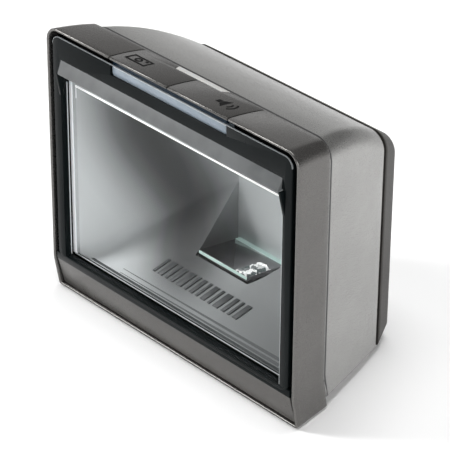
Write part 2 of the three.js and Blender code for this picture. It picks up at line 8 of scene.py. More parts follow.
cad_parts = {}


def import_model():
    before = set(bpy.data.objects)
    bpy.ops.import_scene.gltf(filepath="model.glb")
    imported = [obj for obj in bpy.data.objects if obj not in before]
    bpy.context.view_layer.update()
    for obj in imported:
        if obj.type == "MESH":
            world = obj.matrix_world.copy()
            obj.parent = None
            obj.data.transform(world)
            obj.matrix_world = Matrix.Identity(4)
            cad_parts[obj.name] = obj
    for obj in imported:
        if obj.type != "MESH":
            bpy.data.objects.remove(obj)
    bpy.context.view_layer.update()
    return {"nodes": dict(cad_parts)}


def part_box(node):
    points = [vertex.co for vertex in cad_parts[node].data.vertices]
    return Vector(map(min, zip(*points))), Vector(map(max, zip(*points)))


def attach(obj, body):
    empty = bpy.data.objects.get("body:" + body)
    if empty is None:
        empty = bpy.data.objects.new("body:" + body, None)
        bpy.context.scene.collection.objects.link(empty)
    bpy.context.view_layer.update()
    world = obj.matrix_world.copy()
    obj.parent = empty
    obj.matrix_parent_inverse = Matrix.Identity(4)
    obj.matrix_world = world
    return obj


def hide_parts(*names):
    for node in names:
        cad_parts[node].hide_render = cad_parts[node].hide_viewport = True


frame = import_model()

# Lengths below are millimetres. x runs across, z up, and y is measured back from the band's front rim.
MM = 0.001
RIM_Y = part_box("front_band")[0].y
BODY = "scanner_body"

# ---- driving sizes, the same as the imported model's ----
BAND = {"depth": 24.2, "half": (89, 85.2), "top": (152.6, 148.3), "radius": (8.2, 7.4), "bottom": 0.6}
BAND_WALL = 1.5
BAND_FILLET = 0.7
BRIDGE = {"front": 6, "drop": 3.4, "thick": 1.4}
CROWN = 0.5
KNEE = 18.8
KNEE_BLEND = 1.6
LEAN = 3.4
HOUSING = {"front": 24.5, "rear": 78.1, "half": (84.4, 68.4), "top": (147.5, 125.4), "radius": (10.5, 9)}
HOUSING_BOTTOM = (5, 3.9)
HOUSING_WALL = 2
TOP_CURVE = 0.65
SIDE_CURVE = 0.14
BACK = {"front": 79.9, "half": (68.1, 60.7), "top": (125, 114.4), "radius": (9, 8), "bottom": (3.9, 7.6)}
REAR = 94.5
FOOT_RADIUS = 1.6
FOOT_SEATS = [(-62, 36), (62, 36), (-48, 70), (48, 70)]
SPEAKER = {"x": -45, "y": 48, "radius": 11, "pitch": 4, "slot": 0.8}
COVER_SCREWS = [(-52, 14.5), (52, 14.5), (-50, 103), (50, 103)]
INSERTS = [(-25, 75), (25, 75)]
# (left, right, top) of the three socket holes in the connector tub
SOCKET_HOLES = [(-27, -11, 26), (11, 27, 26), (-5, 5, 24)]

BEZEL = {"front": 0.25, "half": 84.6, "bottom": 21.5, "top": 148.7, "radius": 5}
OPENING = {"half": 79, "bottom": 23, "top": 131}
VISOR = {"half": 78.4, "brow": 136.8, "tip": 130.2, "lip": 129.5, "reach": -2.5}
# (half width, bottom, top, corner radius) of the recess behind the opening and of the glass in it
RECESS = (80.5, 20.9, 134.3, 1.5)
PANE = (80.2, 21.2, 134, 1.5)
BUTTON = {"half": 41.3, "seam": 0.8, "thick": 2.2, "lip": 1.5, "fillet": 0.8, "gap": 0.85}
STEM = {"x": 20.6, "y": 15, "radius": 2.2, "low": 144.6}
DOME = {"base": 141.9, "foot": 3.4, "neck": 1.9, "rise": 1.4}
ICON_PROUD = 0.1  # the inlaid marks stand this far above the button
LIGHT_BAR = {"half": 40.7, "bottom": 142.7, "top": 147.9, "front": 1.2, "rear": 5.7}
TAB = {"half": 17.9, "front_half": 16, "front": 20.3}
# (depth, half width, floor, ceiling) of the funnel from its mouth to its throat
FUNNEL = [(7.8, 76.5, 21, 120.5), (11, 74.6, 21, 120.2), (37.5, 59.5, 36.6, 117.5), (65.5, 19, 68.2, 110)]
FUNNEL_REAR = FUNNEL[-1][0]
WAIST_BLEND = 7
FUNNEL_ROUND = (8, 0.11)  # the lower corners' radius at the ledge, and how much it shrinks per mm of depth
POCKET = {"half": 19, "flare": 12, "front": 36, "front_z": 35.4, "rear_z": 30.9}
MIRROR = {"half": 17.5, "length": 28.6, "thick": 2.6, "lift": 1.6, "front_edge": 0.25, "rear_edge": 3.2}
FOIL_TAPE = {"wide": 8.6, "long": 16.5, "thick": 0.12, "crumple": 1.6}
EYE_Z = 97
LED_SPANS = ((9.5, 17.5), (-17.5, -9.5))

# The funnel's painted shade leans in the xz plane. Its stops run from its rim to its middle, and from left to
# right.
PAINTED_FUNNEL_SHADE = {"lean": math.radians(31.3), "centre": (-2.8, 41.6), "reach": (35.6, 47.7),
                "depth": ((0.0, 0.744), (0.2, 0.63), (0.4, 0.42), (0.6, 0.186), (0.8, 0.082), (1.0, 0.055)),
                "across": ((0.0, 1.0), (0.125, 1.0), (0.375, 0.84), (0.625, 0.42), (1.0, 0.25))}

MERGE = 1e-7  # metres between points of a new mesh that count as one
SLIVER = 0.006  # millimetres between points that a bevel should have joined
PAST = 40  # a cut reaches this far back, well past what it cuts
FAR = 120  # and this far where it goes out through the back
TOP_CUT = (140, 156)  # the heights of a cut through the band's top


# ---- small geometry kit ----
def lerp(pair, s):
    return pair[0] + (pair[1] - pair[0]) * s


def world(point):
    x, y, z = point
    return Vector((x * MM, y * MM + RIM_Y, z * MM))


def arc(cx, cz, radius, start, sweep, steps):
    """Points of a round stretch in the xz plane, in degrees."""
    angles = [math.radians(start + sweep * i / steps) for i in range(steps + 1)]
    return [(cx + radius * math.cos(a), cz + radius * math.sin(a)) for a in angles]


def circle(cx, cz, radius, sides=20):
    return arc(cx, cz, radius, 0, 360 - 360 / sides, sides - 1)


def knee_shift(z, lean):
    """How far the strip below the knee leans back at height z, with a soft fold at the knee."""
    below = KNEE - z
    if below <= -KNEE_BLEND:
        return 0.0
    if below < KNEE_BLEND:
        return lean / KNEE * (below + KNEE_BLEND) ** 2 / (4 * KNEE_BLEND)
    return lean / KNEE * below


def outline(y, half, top, bottom, radius, lean=0.0, inset=0.0, opening=None, steps=14):
    """A section's outline, clockwise from the top right; an opening leaves out the top's middle."""
    half, top, bottom = half - inset, top - inset, bottom + inset
    radius = max(radius - inset, 0.3)
    foot = max(FOOT_RADIUS - inset, 0.3)
    fold = [KNEE + KNEE_BLEND * k / 2 for k in (2, 1, 0, -1, -2)]
    path = [(opening, top)] if opening else []
    path += arc(half - radius, top - radius, radius, 90, -90, steps)
    path += [(half, z) for z in fold]
    path += arc(half - foot, bottom + foot, foot, 0, -90, 5)
    path += arc(foot - half, bottom + foot, foot, -90, -90, 5)
    path += [(-half, z) for z in reversed(fold)]
    path += arc(radius - half, top - radius, radius, 180, -90, steps)
    path += [(-opening, top)] if opening else []
    return [(x, y + knee_shift(z, lean), z) for x, z in path]


def band_top(y):
    """Height of the band's slightly crowned top at depth y."""
    s = y / BAND["depth"]
    return lerp(BAND["top"], s) + 4 * CROWN * s * (1 - s)


def band_outline(y, inset=0.0, opening=None):
    s = y / BAND["depth"]
    return outline(y, lerp(BAND["half"], s), band_top(y), BAND["bottom"], lerp(BAND["radius"], s),
                   LEAN, inset, opening)


def housing_outline(y, inset=0.0):
    s = (y - HOUSING["front"]) / (HOUSING["rear"] - HOUSING["front"])
    side = s * (1 - SIDE_CURVE) + SIDE_CURVE * s * s
    fall = s * (1 - TOP_CURVE) + TOP_CURVE * s * s
    return outline(y, lerp(HOUSING["half"], side), lerp(HOUSING["top"], fall), lerp(HOUSING_BOTTOM, s),
                   lerp(HOUSING["radius"], s), LEAN * (1 - s), inset)


def back_outline(y, inset=0.0):
    s = (y - BACK["front"]) / (REAR - BACK["front"])
    return outline(y, lerp(BACK["half"], s), lerp(BACK["top"], s), lerp(BACK["bottom"], s),
                   lerp(BACK["radius"], s), 0.0, inset)


def wall_loop(y0, y1, wall, fillet, steps, fillet_steps=4):
    """The closed loop of (y, inset) round a wall's cross-section, its four edges rounded."""
    def corner(cy, ci, start):
        return arc(cy, ci, fillet, start, 90, fillet_steps)
    lengths = [y0 + fillet + (y1 - y0 - 2 * fillet) * i / steps for i in range(1, steps)]
    outer = [(y, 0.0) for y in lengths]
    inner = [(y, wall) for y in reversed(lengths)]
    return (corner(y0 + fillet, fillet, 180) + outer + corner(y1 - fillet, fillet, 270)
            + corner(y1 - fillet, wall - fillet, 0) + inner + corner(y0 + fillet, wall - fillet, 90))


def skin(rings, closed_ring=True, closed_profile=False):
    """Quads between neighbouring rings, with flat end faces where the skin isn't closed."""
    count = len(rings[0])
    verts = [p for ring in rings for p in ring]
    faces = []
    spans = len(rings) if closed_profile else len(rings) - 1
    for r in range(spans):
        here, there = r * count, (r + 1) % len(rings) * count
        for i in range(count if closed_ring else count - 1):
            j = (i + 1) % count
            faces.append((here + i, here + j, there + j, there + i))
    if closed_profile and not closed_ring:
        faces.append([r * count for r in range(len(rings))])
        faces.append([r * count + count - 1 for r in range(len(rings))])
    if closed_ring and not closed_profile:
        faces.append(list(range(count)))
        faces.append([(len(rings) - 1) * count + i for i in range(count)])
    return verts, faces


def prism_x(profile, x0, x1):
    """A (y, z) profile carried from x0 to x1."""
    return skin([[(x, y, z) for y, z in profile] for x in (x0, x1)])


def prism_y(section, y0, y1):
    """An (x, z) section carried from y0 to y1."""
    return skin([[(x, y, z) for x, z in section] for y in (y0, y1)])


def prism_z(plan, z0, z1):
    """An (x, y) plan carried from z0 to z1."""
    return skin([[(x, y, z) for x, y in plan] for z in (z0, z1)])


def box_shape(x, y, z):
    """A block between pairs of x, y and z values."""
    return prism_x([(y[0], z[0]), (y[1], z[0]), (y[1], z[1]), (y[0], z[1])], *x)


def rod_y(x, z, radius, y0, y1, sides=40):
    """A round rod along y."""
    return prism_y(circle(x, z, radius, sides), y0, y1)


def slot_y(x, half, z0, z1):
    """A round-ended upright slot through the back."""
    ring = arc(x, z1 - half, half, 0, 180, 8) + arc(x, z0 + half, half, 180, 180, 8)
    return prism_y(ring, 80, FAR)


def plate_y(half, z0, z1, radius, y_insets, steps=8):
    """An upright plate with round corners, given as (y, inset) steps from front to back."""
    rings = []
    for y, inset in y_insets:
        h, lo, hi, r = half - inset, z0 + inset, z1 - inset, max(radius - inset, 0.2)
        path = arc(h - r, hi - r, r, 90, -90, steps) + arc(h - r, lo + r, r, 0, -90, steps)
        path += arc(r - h, lo + r, r, -90, -90, steps) + arc(r - h, hi - r, r, 180, -90, steps)
        rings.append([(a, y, b) for a, b in path])
    return skin(rings)


def frame_ring(y, half, low, high, radius, steps=6):
    """A funnel section: square corners at the top, round ones at the bottom."""
    path = arc(half - radius, low + radius, radius, 0, -90, steps)
    path += arc(radius - half, low + radius, radius, -90, -90, steps)
    return [(half, y, high)] + [(a, y, b) for a, b in path] + [(-half, y, high)]


def make_mesh(name, shape):
    """A mesh in metres, its faces pointing out, from a shape in millimetres."""
    verts, faces = shape
    mesh = bpy.data.meshes.new(name)
    mesh.from_pydata([world(v) for v in verts], [], faces)
    bm = bmesh.new()
    bm.from_mesh(mesh)
    bmesh.ops.remove_doubles(bm, verts=bm.verts, dist=MERGE)
    bmesh.ops.recalc_face_normals(bm, faces=bm.faces)
    bm.to_mesh(mesh)
    bm.free()
    return mesh


def apply_modifiers(piece):
    """Bakes a piece's modifiers into its mesh."""
    graph = bpy.context.evaluated_depsgraph_get()
    done = bpy.data.meshes.new_from_object(piece.evaluated_get(graph))
    piece.modifiers.clear()
    piece.data = done


def add_object(name, data):
    """Puts a mesh, lamp or camera into the scene."""
    item = bpy.data.objects.new(name, data)
    bpy.context.scene.collection.objects.link(item)
    return item


def combine(piece, shapes, operation):
    """Cuts the shapes out of a piece, or joins them to it."""
    for shape in shapes:
        tool = add_object("tool", make_mesh("tool", shape))
        modifier = piece.modifiers.new("boolean", "BOOLEAN")
        modifier.operation = operation
        modifier.solver = "EXACT"
        modifier.object = tool
        apply_modifiers(piece)
        bpy.data.objects.remove(tool)


def drop_slivers(piece):
    """Removes the faces without area that a bevel leaves where its steps run together."""
    bm = bmesh.new()
    bm.from_mesh(piece.data)
    bmesh.ops.remove_doubles(bm, verts=bm.verts, dist=SLIVER * MM)
    bmesh.ops.dissolve_degenerate(bm, dist=SLIVER * MM, edges=bm.edges)
    bmesh.ops.holes_fill(bm, edges=[edge for edge in bm.edges if edge.is_boundary])
    bm.to_mesh(piece.data)
    bm.free()


def make_piece(name, shape, material, body=BODY, stands_for=(), hollow=(), joins=(),
               cuts=(), bevel=0.0, bevel_steps=2, sharp=35):
    """One finished piece: hollowed, joined, cut, bevelled and smooth-shaded, riding on a body."""
    piece = add_object(name, make_mesh(name, shape))
    combine(piece, hollow, "DIFFERENCE")
    combine(piece, joins, "UNION")
    combine(piece, cuts, "DIFFERENCE")
    if bevel:
        modifier = piece.modifiers.new("bevel", "BEVEL")
        modifier.width = bevel * MM
        modifier.segments = bevel_steps
        modifier.limit_method = "ANGLE"
        modifier.angle_limit = math.radians(sharp)
        modifier.miter_outer = "MITER_ARC"
        apply_modifiers(piece)
        drop_slivers(piece)
    piece.data.materials.clear()
    piece.data.materials.append(material)
    piece.data.shade_smooth()
    piece.data.set_sharp_from_angle(angle=math.radians(sharp))
    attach(piece, body)
    if stands_for:
        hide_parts(*stands_for)


# ---- materials ----
def new_material(name):
    material = bpy.data.materials.new(name)
    material.use_nodes = True
    nodes = material.node_tree.nodes
    return material, nodes, nodes["Principled BSDF"]


def put(node, values):
    """Sets the values of a node's sockets."""
    for socket, value in values.items():
        node.inputs[socket].default_value = value


def wire(source, output, target, socket):
    """Links a node's output to a socket of another node."""
    target.id_data.links.new(source.outputs[output], target.inputs[socket])


def object_noise(nodes, scale, detail=3.0, roughness=0.55):
    """Noise in the object's own space, with its scale per metre."""
    place = nodes.new("ShaderNodeTexCoord")
    noise = nodes.new("ShaderNodeTexNoise")
    put(noise, {"Scale": scale, "Detail": detail, "Roughness": roughness})
    wire(place, "Object", noise, "Vector")
    return noise


def ramp(nodes, source, output, low, high, low_at=0.35, high_at=0.65):
    """A two-colour ramp driven by a node's output."""
    node = nodes.new("ShaderNodeValToRGB")
    first, last = node.color_ramp.elements
    first.position, last.position = low_at, high_at
    first.color, last.color = (*low, 1), (*high, 1)
    wire(source, output, node, "Fac")
    return node


def shade(colour, factor):
    return [min(c * factor, 1) for c in colour]


def vary(nodes, noise, shader, socket, low, high):
    """Lets a noise texture drive a shader's socket from one colour to another."""
    wire(ramp(nodes, noise, "Fac", low, high), "Color", shader, socket)


def vary_gloss(nodes, noise, shader, low, high):
    vary(nodes, noise, shader, "Roughness", [low] * 3, [high] * 3)


def add_bump(nodes, noise, shader, strength, distance):
    bump = nodes.new("ShaderNodeBump")
    put(bump, {"Strength": strength, "Distance": distance * MM})
    wire(noise, "Fac", bump, "Height")
    wire(bump, "Normal", shader, "Normal")


def moulded(name, colour, roughness, spread=0.06, grain=2600, bump=0.12, specular=0.5):
    """Moulded plastic: a slow mottle in the colour, a fine spark-eroded grain, slightly uneven gloss."""
    material, nodes, shader = new_material(name)
    slow = object_noise(nodes, 45, 4)
    vary(nodes, slow, shader, "Base Color", shade(colour, 1 - spread), shade(colour, 1 + spread))
    fine = object_noise(nodes, grain, 2)
    vary_gloss(nodes, fine, shader, roughness * 0.9, roughness * 1.12)
    add_bump(nodes, fine, shader, bump, 0.05)
    put(shader, {"Specular IOR Level": specular})
    return material


def pearl(name, colour, fleck, metallic, roughness, specular=0.5):
    """Satin metallic paint with a fine pearl fleck."""
    material, nodes, shader = new_material(name)
    slow = object_noise(nodes, 40, 4)
    base = ramp(nodes, slow, "Fac", shade(colour, 0.95), shade(colour, 1.05))
    specks = object_noise(nodes, 3400, 1)
    mask = ramp(nodes, specks, "Fac", (0, 0, 0), (1, 1, 1), 0.58, 0.74)
    mix = nodes.new("ShaderNodeMix")
    mix.data_type = "RGBA"
    wire(mask, "Color", mix, "Factor")
    wire(base, "Color", mix, 6)
    put(mix, {7: (*fleck, 1)})
    wire(mix, 2, shader, "Base Color")
    fine = object_noise(nodes, 2200, 2)
    vary_gloss(nodes, fine, shader, roughness * 0.88, roughness * 1.14)
    add_bump(nodes, fine, shader, 0.06, 0.04)
    put(shader, {"Specular IOR Level": specular, "Metallic": metallic})
    return material


def paint_funnel_shade(name):
    """Matte grey moulding with painted shade: palest at the window, painted darker into the left of the
    throat and towards the right.
    """
    material, nodes, shader = new_material(name)
    place = nodes.new("ShaderNodeTexCoord")
    turn = nodes.new("ShaderNodeMapping")
    put(turn, {"Rotation": (0, PAINTED_FUNNEL_SHADE["lean"], 0)})
    wire(place, "Object", turn, "Vector")
    stretch = nodes.new("ShaderNodeMapping")
    (x, y), reach = PAINTED_FUNNEL_SHADE["centre"], PAINTED_FUNNEL_SHADE["reach"]
    put(stretch, {"Scale": (1 / (reach[0] * MM), 1 / (reach[1] * MM), 0),
                  "Location": (-x / reach[0], -(y + RIM_Y / MM) / reach[1], 0)})
    wire(turn, "Vector", stretch, "Vector")
    round_fall = nodes.new("ShaderNodeTexGradient")
    round_fall.gradient_type = "SPHERICAL"
    wire(stretch, "Vector", round_fall, "Vector")
    depth = grey_stops(nodes, round_fall, "Fac", PAINTED_FUNNEL_SHADE["depth"])
    parts = nodes.new("ShaderNodeSeparateXYZ")
    wire(place, "Object", parts, "Vector")
    across = nodes.new("ShaderNodeMapRange")
    put(across, {"From Min": -80 * MM, "From Max": 80 * MM})
    wire(parts, "X", across, "Value")
    side = grey_stops(nodes, across, "Result", PAINTED_FUNNEL_SHADE["across"])
    mix = nodes.new("ShaderNodeMix")
    mix.data_type, mix.blend_type = "RGBA", "MULTIPLY"
    put(mix, {"Factor": 1.0})
    wire(depth, "Color", mix, 6)
    wire(side, "Color", mix, 7)
    wire(mix, 2, shader, "Base Color")
    fine = object_noise(nodes, 1800, 2)
    vary_gloss(nodes, fine, shader, 0.54, 0.58)
    add_bump(nodes, fine, shader, 0.004, 0.02)
    put(shader, {"Specular IOR Level": 0.2})
    return material


def grey_stops(nodes, source, output, stops):
    """A ramp through several faintly cool greys."""
    node = nodes.new("ShaderNodeValToRGB")
    elements = node.color_ramp.elements
    while len(elements) < len(stops):
        elements.new(0.5)
    for element, (place, grey) in zip(elements, stops):
        element.position = place
        element.color = (grey * 0.985, grey, grey * 1.005, 1)
    wire(source, output, node, "Fac")
    return node


def sparkle(name):
    """Crumpled bright foil: patches from white to grey, glowing as painted glints."""
    material, nodes, shader = new_material(name)
    place = nodes.new("ShaderNodeTexCoord")
    cells = nodes.new("ShaderNodeTexVoronoi")
    put(cells, {"Scale": 360})
    wire(place, "Object", cells, "Vector")
    tint = ramp(nodes, cells, "Color", (0.08, 0.1, 0.1), (1.0, 1.0, 1.0), 0.3, 0.65)
    wire(tint, "Color", shader, "Base Color")
    wire(tint, "Color", shader, "Emission Color")
    put(shader, {"Emission Strength": 0.45, "Roughness": 0.15, "Metallic": 0.3})
    return material


def gloss_black(name, colour, roughness, specular):
    """Dark glossy moulding with faint smears in its shine."""
    material, nodes, shader = new_material(name)
    slow = object_noise(nodes, 60, 3)
    vary(nodes, slow, shader, "Base Color", shade(colour, 0.85), shade(colour, 1.15))
    smear = object_noise(nodes, 120, 5)
    vary_gloss(nodes, smear, shader, roughness * 0.8, roughness * 1.3)
    put(shader, {"Specular IOR Level": specular})
    return material


def milky(name, colour, glow):
    """Smooth milky plastic, silicone or ground glass, with a soft inner cloud and an optional glow, which is
    painted light.
    """
    material, nodes, shader = new_material(name)
    cloud = object_noise(nodes, 160, 3)
    vary(nodes, cloud, shader, "Base Color", shade(colour, 0.94), shade(colour, 1.06))
    put(shader, {"Roughness": 0.28, "Subsurface Weight": 0.25,
                 "Subsurface Radius": (0.002, 0.0025, 0.003), "Subsurface Scale": 1.0,
                 "Emission Color": (*colour, 1), "Emission Strength": glow})
    return material


def pane(name, shine):
    """Thin clear glass: what is behind it shows unbent, with a faint Fresnel shine."""
    material, nodes, shader = new_material(name)
    nodes.remove(shader)
    through = nodes.new("ShaderNodeBsdfTransparent")
    put(through, {"Color": (0.975, 0.98, 0.98, 1)})
    mirror = nodes.new("ShaderNodeBsdfGlossy")
    put(mirror, {"Roughness": 0.03})
    fresnel = nodes.new("ShaderNodeFresnel")
    put(fresnel, {"IOR": shine})
    side = nodes.new("ShaderNodeNewGeometry")
    outer = nodes.new("ShaderNodeMath")
    outer.operation = "MULTIPLY"
    front = nodes.new("ShaderNodeMath")
    front.operation = "SUBTRACT"
    put(front, {0: 1})
    wire(side, "Backfacing", front, 1)
    wire(fresnel, "Fac", outer, 0)
    wire(front, "Value", outer, 1)
    mix = nodes.new("ShaderNodeMixShader")
    wire(outer, "Value", mix, "Fac")
    wire(through, "BSDF", mix, 1)
    wire(mirror, "BSDF", mix, 2)
    wire(mix, "Shader", nodes["Material Output"], "Surface")
    return material


def metal(name, colour, roughness, scale=900):
    """Bare metal with a slightly uneven tone and shine."""
    material, nodes, shader = new_material(name)
    grain = object_noise(nodes, scale, 4)
    vary(nodes, grain, shader, "Base Color", shade(colour, 0.85), colour)
    vary_gloss(nodes, grain, shader, roughness * 0.8, roughness * 1.3)
    put(shader, {"Metallic": 1.0})
    return material


def circuit(name):
    """Green solder mask with copper traces showing through as a darker, finer pattern."""
    material, nodes, shader = new_material(name)
    place = nodes.new("ShaderNodeTexCoord")
    bricks = nodes.new("ShaderNodeTexBrick")
    put(bricks, {"Scale": 220, "Color1": (0.01, 0.09, 0.035, 1), "Color2": (0.015, 0.12, 0.05, 1),
                 "Mortar": (0.03, 0.2, 0.08, 1)})
    wire(place, "Object", bricks, "Vector")
    wire(bricks, "Color", shader, "Base Color")
    put(shader, {"Roughness": 0.35})
    return material


BAND_GREY = pearl("band_pearl_grey", (0.135, 0.131, 0.126), (0.20, 0.19, 0.18), 0.8, 0.27)
HOUSING_GREY = pearl("housing_silver_grey", (0.33, 0.328, 0.32), (0.42, 0.41, 0.40), 0.8, 0.29)
CHIN_GREY = pearl("chin_pearl_grey", (0.115, 0.111, 0.106), (0.17, 0.163, 0.155), 0.7, 0.3)
BUTTON_GREY = pearl("button_pearl_grey", (0.105, 0.102, 0.098), (0.16, 0.155, 0.15), 0.8, 0.27)
BACK_GREY = pearl("back_dark_grey", (0.036, 0.033, 0.030), (0.06, 0.056, 0.052), 0.1, 0.42, 0.12)
BEZEL_BLACK = gloss_black("bezel_gloss_black", (0.005, 0.007, 0.0075), 0.16, 0.08)
# Satin grey for the visor, lightened as painted light on its upward face.
VISOR_GREY_PAINTED_LIGHT = gloss_black("visor_satin_grey_painted_light", (0.115, 0.121, 0.123), 0.36, 0.42)
# The funnel's grey, with painted shade deep inside and towards the right.
FUNNEL_GREY_PAINTED_SHADE = paint_funnel_shade("funnel_grey_painted_shade")
# A pale copy of the funnel's grey, kept light as painted light on the throat and the pocket's right wall.
THROAT_GREY_PAINTED_LIGHT = moulded("throat_grey_painted_light", (0.70, 0.725, 0.73), 0.5, spread=0.02, grain=1800, bump=0.05)
# Dark grey for the floor's low steps: painted shade of a step.
STEP_GREY_PAINTED_SHADE = moulded("floor_step_grey_painted_shade", (0.085, 0.092, 0.095), 0.5, spread=0.02, grain=1800, bump=0.05)
# Dark grey strips on the ledge behind the glass: painted shade.
LEDGE_PAINTED_SHADE = moulded("ledge_grey_painted_shade", (0.07, 0.078, 0.08), 0.5)
# Light grey for a thin strip along the frame's top edge: a painted highlight.
BEZEL_HIGHLIGHT_GREY = moulded("bezel_painted_highlight_grey", (0.22, 0.235, 0.245), 0.3)
MOTIF_GREY = moulded("motif_dark_grey", (0.05, 0.055, 0.057), 0.5)
RUBBER = moulded("rubber_black", (0.014, 0.014, 0.014), 0.85, specular=0.3)
SEAM_BLACK = moulded("seam_black", (0.004, 0.004, 0.004), 0.8, specular=0.1)
BLACK = moulded("black_plastic", (0.016, 0.016, 0.017), 0.5)
LIGHT_GUIDE = milky("light_guide_blue_white", (0.24, 0.29, 0.34), 0.0)
NAVY = gloss_black("light_guide_navy", (0.008, 0.02, 0.035), 0.2, 0.15)
STATUS_SILVER = milky("status_silver", (0.43, 0.43, 0.42), 0.0)
# Pale silicone with a glow: the glow is painted light.
SEAL_PALE_PAINTED_LIGHT = milky("pale_silicone_painted_light", (0.85, 0.86, 0.88), 0.3)
GLASS = pane("window_clear_glass", 1.2)
# Pale green ground glass with a glow: the glow is painted light on the mirror's edges.
GLASS_EDGE_PAINTED_LIGHT = milky("ground_glass_edge_painted_light", (0.50, 0.66, 0.62), 0.28)
# Glowing white for the strip along the funnel's top: a painted highlight.
HIGHLIGHT_WHITE_GLOWING = milky("painted_highlight_white", (0.95, 0.96, 0.95), 0.6)
# Glowing pale grey for thin lines along edges: painted glints and highlights.
GLINT_GREY_GLOWING = milky("painted_glint_grey", (0.55, 0.58, 0.60), 0.25)
MIRROR_FACE = metal("mirror_silver", (0.38, 0.37, 0.38), 0.07, 200)
# Foil whose bright patches glow: painted glints.
FOIL_PAINTED_GLINTS = sparkle("mirror_foil_painted_glints")
LENS = gloss_black("lens_coated", (0.01, 0.012, 0.03), 0.04, 0.9)
SILICONE = milky("silicone_clear", (0.6, 0.6, 0.57), 0.0)
STEEL = metal("steel_zinc", (0.55, 0.55, 0.56), 0.3)
BRASS = metal("brass", (0.6, 0.43, 0.18), 0.3)
CIRCUIT = circuit("circuit_green")
LABEL = moulded("label_silver_grey", (0.42, 0.42, 0.41), 0.45)
ICON_DARK = moulded("icon_ink", (0.008, 0.008, 0.008), 0.8, specular=0.1)


# ---- outer shells ----
def build_band():
    """The band's ring, open at the top for the buttons, and the floor of the well under them."""
    opening = BUTTON["half"] + BUTTON["gap"]
    loop = wall_loop(0, BAND["depth"], BAND_WALL, BAND_FILLET, 8)
    rings = [band_outline(y, inset, opening) for y, inset in loop]
    make_piece("band_shell", skin(rings, closed_ring=False, closed_profile=True), BAND_GREY,
               stands_for=["front_band"], bevel=0.15)
    front, rear, thick = BRIDGE["front"], BAND["depth"] - 0.3, BRIDGE["thick"]
    floor_front, floor_rear = band_top(front) - BRIDGE["drop"], band_top(BAND["depth"]) - BRIDGE["drop"]
    half = opening + 1.2
    bridge = prism_x([(front, floor_front - thick), (rear, floor_rear - thick),
                      (rear, floor_rear), (front, floor_front)], -half, half)
    make_piece("band_bridge", bridge, BLACK, bevel=0.2)


def button_profile():
    """A button's (y, z) section: filleted front edge, crowned top, thin lip at the front."""
    fillet, thick, lip, rear = BUTTON["fillet"], BUTTON["thick"], BUTTON["lip"], BAND["depth"]
    profile = [(fillet - fillet * math.cos(a), band_top(0) - fillet + fillet * math.sin(a))
               for a in (0, math.pi / 8, math.pi / 4, math.pi * 3 / 8)]
    lengths = [fillet + (rear - 2 * fillet) * i / 8 for i in range(9)]
    profile += [(y, band_top(y)) for y in lengths]
    profile += [(rear, band_top(rear) - fillet), (rear, band_top(rear) - thick)]
    return profile + [(8, band_top(8) - thick), (3, band_top(3) - lip), (0.2, band_top(0) - lip)]


def tab_plan(gap=0, past=0):
    """The rear light's (x, y) outline, with an optional gap round it."""
    front_half, half = TAB["front_half"] + gap, TAB["half"] + gap
    front, rear = TAB["front"] - gap, BAND["depth"] + past
    return [(-front_half, front), (front_half, front), (half, rear), (-half, rear)]


def build_button(side, name, node, icon):
    """One segment of the band's top, with its stem and its icon."""
    edge = BUTTON["seam"] / 2
    x0, x1 = (-BUTTON["half"], -edge) if side < 0 else (edge, BUTTON["half"])
    ring = circle(side * STEM["x"], STEM["y"], STEM["radius"], 32)
    stem = prism_z(ring, STEM["low"], band_top(STEM["y"]) - 1)
    notch = prism_z(tab_plan(0.3, 1), *TOP_CUT)
    make_piece(name, prism_x(button_profile(), x0, x1), BUTTON_GREY, body=node, stands_for=[node],
               joins=[stem], cuts=[notch], bevel=0.18)
    icon(node)


def inlay(name, points, node, hole=None):
    """A flat mark let into a button's top, given as (x, y) points."""
    rings = [[(x, y, band_top(y) + lift) for x, y in points] for lift in (ICON_PROUD, -0.3)]
    cuts = [prism_z(hole, *TOP_CUT)] if hole else []
    make_piece(name, skin(rings), ICON_DARK, body=node, cuts=cuts)


def rectangle(x0, x1, y0, y1):
    return [(x0, y0), (x1, y0), (x1, y1), (x0, y1)]


def camera_icon(node):
    """A plain camera outline with a round lens and a flash."""
    inlay("icon_camera_body", rectangle(-37.6, -24.0, 6.6, 14.0), node, rectangle(-36.5, -25.1, 7.7, 12.9))
    inlay("icon_camera_lens", circle(-31.4, 10.3, 2.2), node, circle(-31.4, 10.3, 1.1))
    inlay("icon_camera_flash", rectangle(-27.9, -26.2, 11.0, 12.4), node)


def speaker_icon(node):
    """A plain loudspeaker with two sound waves."""
    inlay("icon_speaker_coil", rectangle(23.6, 26.0, 9.5, 12.5), node)
    inlay("icon_speaker_horn", [(26.5, 9.3), (29.6, 6.6), (29.6, 15.4), (26.5, 12.7)], node)
    for i, radius in enumerate((2.9, 5.3)):
        outer = arc(29.8, 11.0, radius + 0.5, -48, 96, 12)
        inner = arc(29.8, 11.0, radius - 0.5, 48, -96, 12)
        inlay(f"icon_speaker_wave_{i + 1}", outer + inner, node)


def speaker_slots():
    """A round grille of slots under the housing."""
    x, half, slots = SPEAKER["x"], SPEAKER["slot"], []
    for step in range(-2, 3):
        offset = step * SPEAKER["pitch"]
        reach = math.sqrt(SPEAKER["radius"] ** 2 - offset ** 2)
        y = SPEAKER["y"] + offset
        slots.append(box_shape((x - reach, x + reach), (y - half, y + half), (-1, 12)))
    return slots


